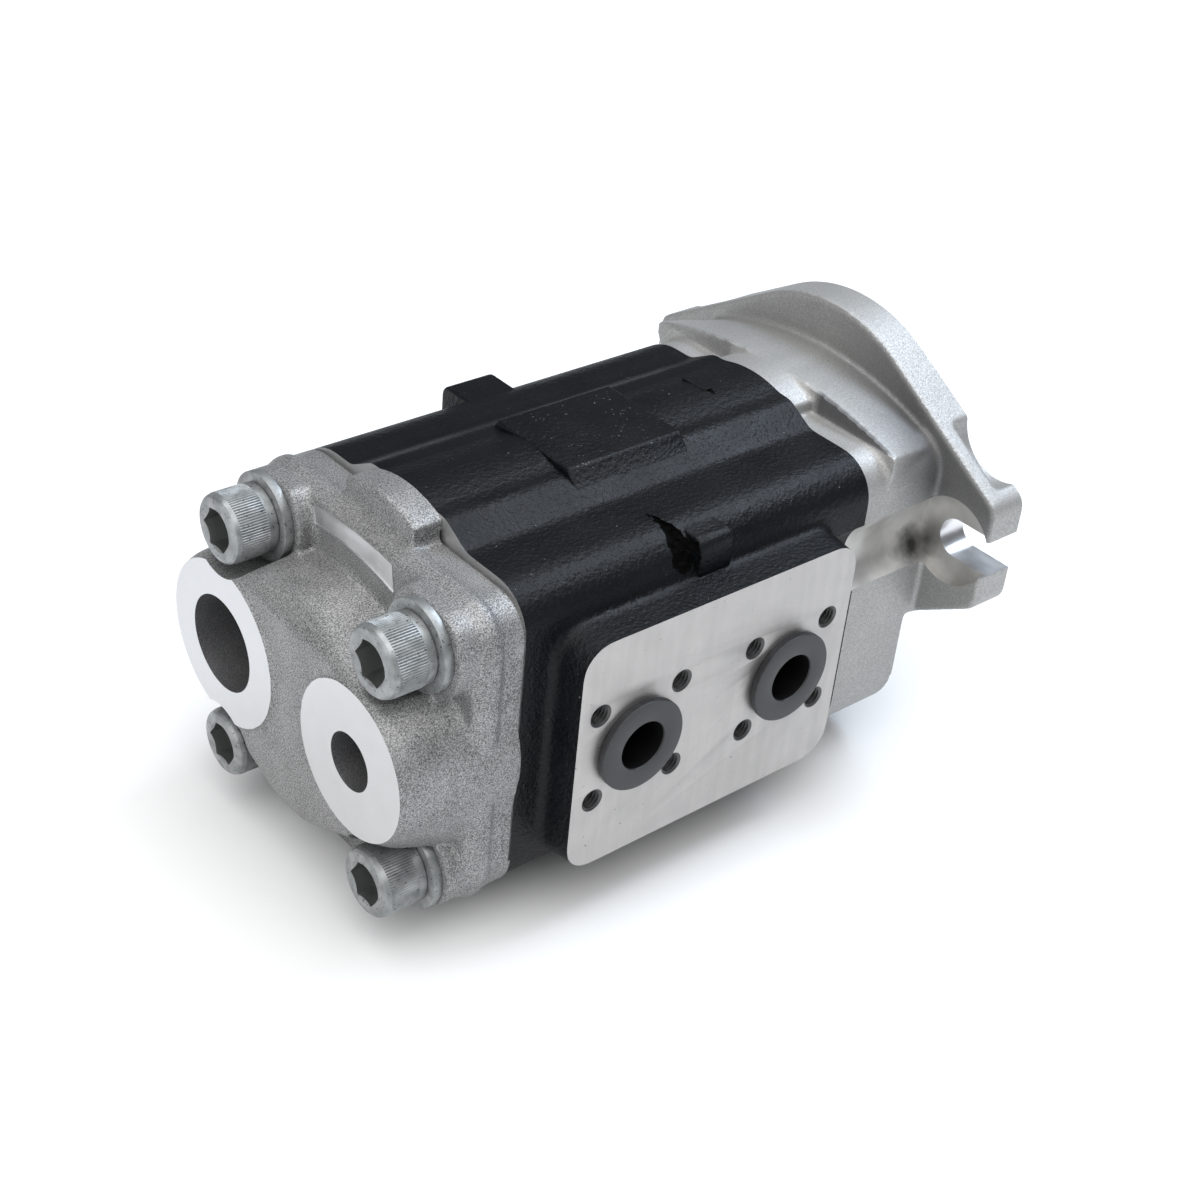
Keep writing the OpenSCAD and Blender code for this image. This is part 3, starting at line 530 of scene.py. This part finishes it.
bpy.ops.mesh.select_all(action="SELECT")
bpy.ops.transform.vertex_random(offset=0.5 * MM, uniform=1, normal=0, seed=3)
bpy.ops.object.mode_set(mode="OBJECT")
cut(body, [breaks], shaded_break_skin)
cut(body, [bar_y(1.6, 8.2, 1.2, 56.2, 34.3, 0.5, 12)], shaded_break_skin)
cut(body, [bar_y(-6.5, 1.5, 0.4, 57.6, 33.45, 0.5, 10)], black_paint, add=True)

# Joint faces, port faces, and the clearance behind each ear for its mounting bolt.
cut(body, [block((REAR_JOINT, -80, -90), (170, 80, 60)),
           block((20, -80, -90), (FRONT_JOINT, 80, 60))], joint_finish)
cut(body, [block((30, PORT_FACE, -90), (160, 70, 60)),
           block((30, -70, -90), (160, -PORT_FACE, 60))], port_face_finish)
cut(body, [bar(38, 50.9, SPOT_FACE, side * EAR_BOLT) for side in (-1, 1)], black_paint)

# Gear chambers on both sides of the web, bolt holes, the discharge ports, the suction
# port with the passage behind it, and the tapped holes round the ports. Their walls are
# milled iron darkened as painted shade.
for z in GEAR_AXES:
    cut(body, [bar(38, 81, CHAMBER, 0, z), bar(107, 150, CHAMBER, 0, z), bar(37, 151, JOURNAL_BORE, 0, z)],
        shaded_bore_finish)
cut(body, [bar(37, 151, BOLT_HOLE, y, z) for y, z in bolt_spots], shaded_bore_finish)
cut(body, [bar_y(8, 57, 9, x, MID) for x in DISCHARGE_PORTS], shaded_bore_finish)
cut(body, [bar_y(-57, -20.8, 12.5, SUCTION_PORT, MID), bar(63.5, 128.5, 8, -18.8, MID)], shaded_bore_finish)
cut(body, [threaded(1, x + sx, MID + sz, 3.0, 14, 1.0)
           for x in DISCHARGE_PORTS for sx in (-12.5, 12.5) for sz in (-12.5, 12.5)], shaded_bore_finish)
cut(body, [threaded(-1, SUCTION_PORT + sx, MID + sz, 5.0, 15, 1.5)
           for sx in (-26.2, 26.2) for sz in (-13.1, 13.1)], shaded_bore_finish)
finished(body, "painted_body", "housing", ["pump_body"])

# ---- Gears, shaft and quill
# Case-hardened steel, ground on the flanks and journals, and the hardened hollow dowels
# of the joints. They stay as the CAD made them.
def ground_steel(name, colour, roughness):
    steel = Finish(name, colour, 1.0, roughness)
    lines = steel.noise(1.0, 3, steel.stretched((3.0, 0.6, 0.6)))
    steel.bump(lines, 0.15, 0.02)
    return steel.done(steel.ramp(lines, 0.3, 0.7, tinted(colour, 0.88), colour),
                      steel.grey(lines, 0.3, 0.7, roughness - 0.06, roughness + 0.08))


def dressed(nodes, material):
    """Gives CAD nodes that stay visible their material."""
    for name in nodes:
        coat(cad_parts[name].data, material)


gear_steel = ground_steel("ground_gear_steel", (0.5, 0.51, 0.53), 0.28)
dressed(["drive_shaft", "front_driven_gear", "rear_drive_gear", "rear_driven_gear", "coupling_quill",
         "front_dowels", "rear_dowels"], gear_steel)

# ---- Bushes and side plates
# Sintered bronze, pale brown and a little porous. The bushes are pressed into the covers
# and the web, and the side plates lie between them and the gears.
def bearing_bronze():
    bronze = Finish("bearing_bronze", (0.6, 0.42, 0.22), 1.0, 0.38)
    pores = bronze.noise(0.5, 2)
    bronze.bump(pores, 0.2, 0.03)
    return bronze.done(bronze.ramp(pores, 0.35, 0.6, (0.42, 0.28, 0.14), (0.64, 0.46, 0.25)),
                       bronze.grey(pores, 0.3, 0.7, 0.3, 0.46))


dressed(["flange_bushes", "front_web_bushes", "rear_web_bushes", "cover_bushes", "front_outer_plate",
         "front_inner_plate", "rear_inner_plate", "rear_outer_plate"], bearing_bronze())

# ---- Seals, spring and ring
# Moulded nitrile rubber seals, laid in their grooves or pressed in round the shaft, with
# a steel garter spring and a snap ring that holds the shaft seal.
dressed(["front_plate_seals", "rear_plate_seals", "front_body_seal", "rear_body_seal", "shaft_seal"],
        moulded("nitrile_rubber", (0.018, 0.018, 0.019), 0.55, 0.8))
dressed(["seal_spring", "seal_ring"], ground_steel("spring_steel", (0.3, 0.3, 0.31), 0.4))

# ---- Front cover with the flange
# Gravity-cast aluminium, smoother and lighter than the rear cover. The mounting face,
# the pilot, the slots and the spot faces for the mounting bolts are machined.
def cast_aluminium(name, dark, light, grain, pit_size, pit_share, with_painted_shade=False):
    """Sparkling cast skin; when asked, its faces behind the mounting plate and under the crown step get
    painted shade.
    """
    alloy = Finish(name, light, 0.6, 0.5)
    sparkle = alloy.noise(grain, 2)
    mottle = alloy.noise(9, 5)
    sand = alloy.noise(grain * 3.2, 3)
    alloy.bump(sand, 0.45, 0.12)
    alloy.bump(sparkle, 0.5, 0.07)
    pits = alloy.maths("LESS_THAN", alloy.noise(pit_size, 1), pit_share)
    tone = alloy.ramp(alloy.plus(alloy.times(sparkle, 0.86), alloy.times(mottle, 0.14)), 0.36, 0.64,
                      dark, light)
    tone = alloy.mixed(pits, tone, (0.05, 0.05, 0.052))
    if with_painted_shade:
        x, y, z = alloy.axes()

        # Painted shade behind the plate, where the body and neck darken it, fading along the neck and away
        # from the ear on the port side.
        behind_plate = alloy.times(alloy.grey(x, 0.0106, 0.0116, 0, 1), alloy.grey(x, 0.015, 0.03, 0.8, 0))
        near_ear = alloy.times(alloy.grey(y, 0.0, 0.032, 0.25, 1), alloy.grey(z, -0.004, 0.014, 0.1, 1))

        # Painted shade along the step under the crown, on each side of the round over the gears.
        off_step = alloy.grey(alloy.off(x, 0.0309), 0.0006, 0.0015, 0.85, 0)
        beside = alloy.plus(alloy.grey(y, 0.0155, 0.018, 0, 1), alloy.grey(y, -0.018, -0.0155, 0.3, 0))
        on_top = alloy.grey(z, 0.0266, 0.0274, 0, 1)

        # Both masks paint shade: the skin turns dark grey where the black body darkens it.
        painted_shade_mask = alloy.maths("MAXIMUM", alloy.times(behind_plate, near_ear),
                            alloy.times(off_step, alloy.times(beside, on_top)))
        tone = alloy.mixed(painted_shade_mask, tone, (0.09, 0.09, 0.093))
    return alloy.done(tone, alloy.grey(sparkle, 0.3, 0.7, 0.62, 0.46))


# The front cover gets painted shade behind its plate and under its crown.
front_alloy = cast_aluminium("gravity_cast_aluminium", (0.31, 0.308, 0.302), (0.43, 0.427, 0.42),
                             0.4, 2.2, 0.13, with_painted_shade=True)


def milled_aluminium(name, colour, centre, pitch):
    """Face-milled aluminium, with faint arcs about a centre that the cutter leaves here and there."""
    full_turn = 6.2832
    face = Finish(name, colour, 1.0, 0.3)
    rings = face.node("ShaderNodeTexWave", wave_type="RINGS", rings_direction="X",
                      Scale=1000.0 / pitch / full_turn, Distortion=2.5, Detail=2)
    face.link(face.stretched((1, 1, 1), tuple(-c * MM for c in centre)), rings, "Vector")
    patchy = face.times(rings.outputs["Fac"], face.grey(face.noise(11, 3), 0.45, 0.65, 0, 1))
    face.bump(patchy, 0.1, 0.02)
    soft = face.noise(6, 3)
    tone = face.ramp(soft, 0.3, 0.7, tinted(colour, 0.95), colour)
    return face.done(face.mixed(face.times(patchy, 0.1), tone, (0.5, 0.5, 0.5)),
                     face.grey(soft, 0.3, 0.7, 0.28, 0.38))


def spot_faced():
    """Alloy bored by a long cutter: dull and smeared, with an oil stain about one spot."""
    stain_place = (0.0135, 0.0425, -0.0065)
    face = Finish("spot_faced_alloy", (0.5, 0.49, 0.47), 0.85, 0.42)
    swirl = face.noise(1.0, 4, face.stretched((0.5, 0.16, 0.16)))
    smear = face.noise(12, 4)
    tone = face.ramp(face.plus(face.times(swirl, 0.12), face.times(smear, 0.88)), 0.35, 0.6,
                     (0.47, 0.46, 0.44), (0.66, 0.65, 0.635))
    reach = face.node("ShaderNodeVectorMath", operation="DISTANCE")
    face.link(face.place, reach, 0)
    reach.inputs[1].default_value = stain_place
    ragged = face.plus(reach.outputs["Value"], face.times(face.noise(4, 4), 0.009))
    stain = face.grey(ragged, 0.005, 0.0125, 0.9, 0)
    face.bump(swirl, 0.12, 0.04)
    return face.done(face.mixed(stain, tone, (0.02, 0.019, 0.017)), face.grey(smear, 0.3, 0.7, 0.36, 0.52))


def bright_bored(name, colour, roughness):
    """Plain bright bore or slot with faint lines of the tool."""
    face = Finish(name, colour, 1.0, roughness)
    lines = face.noise(1.0, 3, face.stretched((1.2, 0.2, 0.2)))
    face.bump(lines, 0.01, 0.01)
    return face.done(face.ramp(lines, 0.3, 0.7, tinted(colour, 0.94), colour),
                     face.grey(lines, 0.3, 0.7, roughness - 0.04, roughness + 0.1))


slot_finish = milled_aluminium("milled_slot", (0.76, 0.76, 0.77), (0, 0, 60), 0.5)
spot_face_finish = spot_faced()
flange_face = milled_aluminium("milled_flange", (0.78, 0.78, 0.785), (0, 0, 0), 0.5)


def flange_outline():
    """Round plate with two ears drawn out along its tangents to corners at (y, z)."""
    big, small, y, z = 46.5, 5.0, 60.0, 12.25
    lean = math.degrees(math.atan2(z, y) + math.acos((big - small) / math.hypot(y, z)))
    return (arc(y, -z, small, -lean, 0, 8) + arc(y, z, small, 0, lean, 8)
            + arc(0, 0, big, lean, 180 - lean, 24)
            + arc(-y, z, small, 180 - lean, 180, 8) + arc(-y, -z, small, 180, 180 + lean, 8)
            + arc(0, 0, big, 180 + lean, 360 - lean, 24))


def crown_outline(r, w):
    """Section of the crown on the neck: an arc of radius r and half width w, and a foot inside."""
    top = MID + 51.1
    reach = math.degrees(math.asin(w / r))
    end = top - r + math.sqrt(r * r - w * w)
    foot = [(-w, end - 3.5), (12 - w, MID + 20), (-w / 2, MID), (w, MID)]
    return arc(0, top - r, r, 90 - reach, 90 + reach, 16) + foot


# The plate has a round hollow on each side of both ears; the neck starts inside its edge.
plate = slab(flange_outline(), -4, 11.5)
for sy in (-1, 1):
    for sz in (-1, 1):
        trimmed(plate, bar(-5, 6, 13, sy * 55.2, sz * 29.5))
neck = casting_outline(45.5, 44.2, 10.5, 16.5)
inner_neck = slab(neck, 10, 15)
trimmed(inner_neck, slab(flange_outline(), 9, 16), "INTERSECT")
flange = cast([
    plate,
    inner_neck,
    slab(neck, 14.1, 44),
    slab(arc(0, 0, 33.7, 62.3, 117.7) + [(-15.7, MID), (15.7, MID)], 10, 44),
    slab(arc(0, -35, 33.7, 242.3, 297.7) + [(15.7, MID), (-15.7, MID)], 14.1, 44),
    wrapped([slab(crown_outline(90, 42), 10, 11.5), slab(crown_outline(150, 45.5), 30.5, 31)]),
], 0.72, 4)
coat(flange.data, front_alloy)

# Both faces, the pilot, the seal seat with its ring groove, and the shaft and journal bores.
cut(flange, [block((-9, -80, -90), (0, 80, 60)),
             block((FRONT_JOINT, -80, -90), (60, 80, 60))], flange_face)
cut(flange, [bar(-6.35, 1, 41.275)], flange_face, add=True)
cut(flange, [bar(-8, 5, 17.5), bar(-4.5, -3.08, 18.5), bar(0, 40, 11)], flange_face)
cut(flange, [bar(19, 40, JOURNAL_BORE, 0, z) for z in GEAR_AXES], flange_face)

# The open slots in the ears with their spot faces, the tapped holes and the dowel holes.
slot_r = 5.5
for side in (-1, 1):
    low_y, high_y = sorted((side * EAR_BOLT, side * 80))
    cut(flange, [bar(-2, 14, slot_r, side * EAR_BOLT), block((-2, low_y, -slot_r), (14, high_y, slot_r))],
        slot_finish)
    cut(flange, [bar(9, 60, SPOT_FACE, side * EAR_BOLT)], spot_face_finish)
cut(flange, [bar(17, 41, 6.05, y, z) for y, z in bolt_spots], flange_face)
DOWEL_HOLE = 8.52
dowel_spots = [(s * 32, MID + s * 32) for s in (-1, 1)]
cut(flange, [bar(33, 41, DOWEL_HOLE, y, z) for y, z in dowel_spots], flange_face)
finished(flange, "front_cover", "housing", ["mounting_flange"])

# ---- Rear cover
# Sand-cast aluminium with a sparkling grain and a few pits, fullest at its parting line.
# Both blank pads are face milled and the cored holes in them stay rough. The strip over
# the boss is ground, and a thin groove shows at the joint with the body.
SEAT, COVER_END = 166.5, 181
BIG_PAD, SMALL_PAD = -30.8, 24.8
rear_alloy = cast_aluminium("sand_cast_aluminium", (0.1, 0.1, 0.1), (0.4, 0.4, 0.4), 0.34, 1.6, 0.17)
pad_face = milled_aluminium("milled_pads", (0.62, 0.62, 0.63), (COVER_END, 40, -75), 0.7)
core_skin = cast_aluminium("cored_skin", (0.09, 0.09, 0.092), (0.2, 0.2, 0.205), 0.3, 1.6, 0.15)
strip_finish = bright_bored("ground_strip", (0.7, 0.7, 0.7), 0.34)


def cover_outline(grow):
    return casting_outline(46.4 + grow, 43 + grow, 10 + grow, 14 + grow)


def boss_ring(x, large, small, middle, drop, toe_r, toe):
    """Slice of the boss: a circle under each pad, one between them and one at the toe."""
    return [bar(x, x + 0.05, 21.8 + large, BIG_PAD, MID), bar(x, x + 0.05, 19.8 + small, SMALL_PAD, MID),
            bar(x, x + 0.05, middle, -4, MID - drop), bar(x, x + 0.05, toe_r, 21.8, MID - toe)]


seats = joined([bar(150, SEAT, 13.6, y, z) for y, z in bolt_spots])
trimmed(seats, slab(cover_outline(-0.4), 150, 168), "INTERSECT")
cover = cast([
    slab(cover_outline(0), 143, 158),
    wrapped([slab(cover_outline(1.0), 156.4, 156.6), slab(cover_outline(0.6), 159, 159.1),
             slab(cover_outline(-1.6), 162, 162.2)]),
    seats,
    slab(arc(0, 0, 34.0, 66.2, 113.8) + [(-13.75, MID), (13.75, MID)], 143, 157),
    slab([(-13.75, MID - 40), (-8, MID - 49.8), (8, MID - 49.8), (13.75, MID - 40)], 143, 165),
    wrapped(boss_ring(149, 2.4, 4, 34, 2, 24.2, 14) + boss_ring(175, 1.6, 1.8, 32, 5, 20.6, 6)
            + boss_ring(178.5, 1.2, 1.2, 29.5, 5.5, 20, 2) + boss_ring(180.2, 0.5, 0.5, 25, 6, 18.8, 1)),
    bar(176, 185, 21.9, BIG_PAD, MID),
    bar(176, 185, 19.9, SMALL_PAD, MID),
], 0.72, 10)
coat(cover.data, rear_alloy)
cut(cover, [block((140, -80, -90), (REAR_JOINT, 80, 60)),
            block((COVER_END, -80, -90), (200, 80, 60))], pad_face)

# The groove at the joint, which ends before the far side, where the boss stands over the
# edge, and before the underside.
joint_groove = slab(cover_outline(3), 148, 149.8)
trimmed(joint_groove, slab(cover_outline(-0.75), 147, 151))
trimmed(joint_groove, block((147, -38, MID - 30), (151, 60, 60)), "INTERSECT")
cut(cover, [joint_groove], rear_alloy)

# Screw seats and holes, the cored holes of the pads, the bearing bores and dowel holes.
cut(cover, [bar(SEAT, 200, 12.2, y, z) for y, z in bolt_spots], rear_alloy)
cut(cover, [bar(147, 180, BOLT_HOLE, y, z) for y, z in bolt_spots], core_skin)
cut(cover, [bar(161, 182, 12.3, BIG_PAD, MID, 12.85), bar(165, 182, 7.2, SMALL_PAD, MID, 7.53)], core_skin)
cut(cover, [bar(147, 160.5, JOURNAL_BORE, 0, z) for z in GEAR_AXES], pad_face)
cut(cover, [bar(147, 155, DOWEL_HOLE, y, z) for y, z in dowel_spots], pad_face)

# The strip is built up over the cast face, then ground flat a little wider than it is.
strip_edge = ([(y, MID + 41.4 - 0.0038 * (y + 2) ** 2) for y in range(13, -20, -4)]
              + [(y, MID + 36.2 - 0.006 * (y + 6) ** 2) for y in range(-18, 15, 4)])
ground_edge = [(y * 1.01, MID + (z - MID) * 1.01 - 0.3) for y, z in strip_edge]
cut(cover, [slab(strip_edge, 158, 162.6)], strip_finish, add=True)
cut(cover, [slab(ground_edge, 162.3, 166)], strip_finish)
finished(cover, "rear_cover_casting", "housing", ["rear_cover"])

# ---- Washers
# Hardened steel washers, punched with a rolled-over edge and zinc plated. One lies under
# each screw head.
def zinc_plate():
    zinc = Finish("zinc_plate", (0.32, 0.33, 0.33), 0.75, 0.45)
    cloud = zinc.noise(3, 5)
    specks = zinc.maths("LESS_THAN", zinc.noise(0.8, 2), 0.33)
    zinc.bump(zinc.noise(0.6, 2), 0.3, 0.03)
    tone = zinc.ramp(cloud, 0.35, 0.65, (0.23, 0.24, 0.24), (0.35, 0.36, 0.362))
    return zinc.done(zinc.mixed(specks, tone, (0.08, 0.085, 0.085)),
                     zinc.grey(cloud, 0.3, 0.7, 0.54, 0.42))


zinc = zinc_plate()


def copies(piece, places):
    """The piece and a copy of its mesh at each further place, in one object."""
    made = [piece]
    for x, y, z in places[1:]:
        start_piece()
        piece.select_set(True)
        bpy.context.view_layer.objects.active = piece
        bpy.ops.object.duplicate()
        twin = bpy.context.object
        twin.location = (x * MM, y * MM, z * MM)
        made.append(twin)
    piece.location = tuple(v * MM for v in places[0])
    return joined(made)


bolt_places = [(0, y, z) for y, z in bolt_spots]
washer = joined([bar(SEAT, 169, 11.3)])
trimmed(washer, bar(160, 175, BOLT_HOLE))
applied(washer, "BEVEL", width=0.3 * MM, segments=2, limit_method="ANGLE", angle_limit=math.radians(50))
coat(washer.data, zinc)
washers = copies(washer, bolt_places)
finished(washers, "hardened_washers", "housing", ["bolt_washers"])

# ---- Long screws
# M12 socket head cap screws, cold headed with a straight knurl round the head and a
# forged hexagon socket, zinc plated. They hold both covers on the body.
def screw():
    """One screw, whose head is turned smooth and then pressed in at each third vertex."""
    ribs = 84
    sides = 3 * ribs
    tip, head, knurl_start, knurl_end = 19.0, 169.0, 171.6, 179.1
    piece = turned([
        (tip, 6.0), (head, 6.0), (head, 8.55), (169.3, 8.85), (171.2, 8.9), (171.5, 8.9), (171.8, 9.0),
        (178.9, 9.0), (179.2, 8.9), (179.5, 8.85), (180.3, 8.6), (180.8, 8.1), (181.0, 7.5), (181.0, 6.6),
    ], "X", sides)
    for vertex in piece.data.vertices:
        step = round(math.atan2(vertex.co.z, vertex.co.y) / (2 * math.pi) * sides)
        vertex.select = knurl_start < vertex.co.x / MM < knurl_end and step % 3 == 0
    for part in (*piece.data.polygons, *piece.data.edges):
        part.select = False
    bpy.ops.object.mode_set(mode="EDIT")
    bpy.ops.mesh.select_mode(type="VERT")
    bpy.ops.transform.resize(value=(1, 0.97, 0.97), center_override=(175 * MM, 0, 0))
    bpy.ops.object.mode_set(mode="OBJECT")
    return piece


one_screw = screw()
coat(one_screw.data, zinc)

# The hexagon, the drill point at its foot and the bevel at its mouth.
socket_skin = bright_bored("forged_socket", (0.3, 0.315, 0.305), 0.4)
across_flats = 10
start_piece()
bpy.ops.mesh.primitive_cylinder_add(vertices=6, radius=across_flats / 2 / math.cos(math.pi / 6) * MM,
                                    depth=7 * MM, location=(178.5 * MM, 0, 0), rotation=(0, math.pi / 2, 0))
cut(one_screw, [bpy.context.object], socket_skin)
cut(one_screw, [bar(173.6, 175.2, 0.4, 0, 0, 4.9, 24)], socket_skin)
cut(one_screw, [bar(180.5, 181.4, 4.9, 0, 0, 6.3, 48)], zinc)
screws = copies(one_screw, bolt_places)
finished(screws, "socket_head_screws", "housing", ["cover_bolts"], 26)

# ---- Port caps
# Soft plastic caps pushed into both discharge ports, with a thin split lip and a blind
# hollow that a finger or a tool pulls them out by.
cap_plastic = moulded("cap_plastic", (0.022, 0.022, 0.024), 0.42, 1.4, 0.4)
# The hollow is the same plastic painted near black and dull, as painted shade inside it.
hollow_shade_plastic = moulded("cap_hollow_painted_shade", (0.002, 0.002, 0.002), 0.6, 1.4, 0.08)


def port_cap(x):
    """Cap turned from its inner end: the plug, the split lip, then back down the hollow."""
    return turned([
        (-12.0, 8.3), (-11.4, 8.92), (-0.02, 8.92), (-0.02, 11.6), (0.1, 11.8), (0.75, 11.85), (0.85, 12.3),
        (1.0, 12.45), (2.1, 12.45), (2.33, 12.3), (2.4, 12.0), (2.4, 7.0), (2.32, 6.7), (2.0, 6.5),
        (-10.3, 6.35), (-10.8, 5.9),
    ], "Y", 96, x, PORT_FACE, MID)


for side, x in zip(("front", "rear"), DISCHARGE_PORTS):
    cap = port_cap(x)
    cap.data.materials.append(cap_plastic)
    cap.data.materials.append(hollow_shade_plastic)
    # Faces down the hollow take the painted-shade plastic.
    for face in cap.data.polygons:
        from_axis = math.hypot(face.center.x / MM - x, face.center.z / MM - MID)
        face.material_index = int(from_axis < 6.6 and 44 < face.center.y / MM < 57.7)
    finished(cap, side + "_plastic_cap", side + "_cap", [side + "_port_cap"])

bpy.context.view_layer.update()
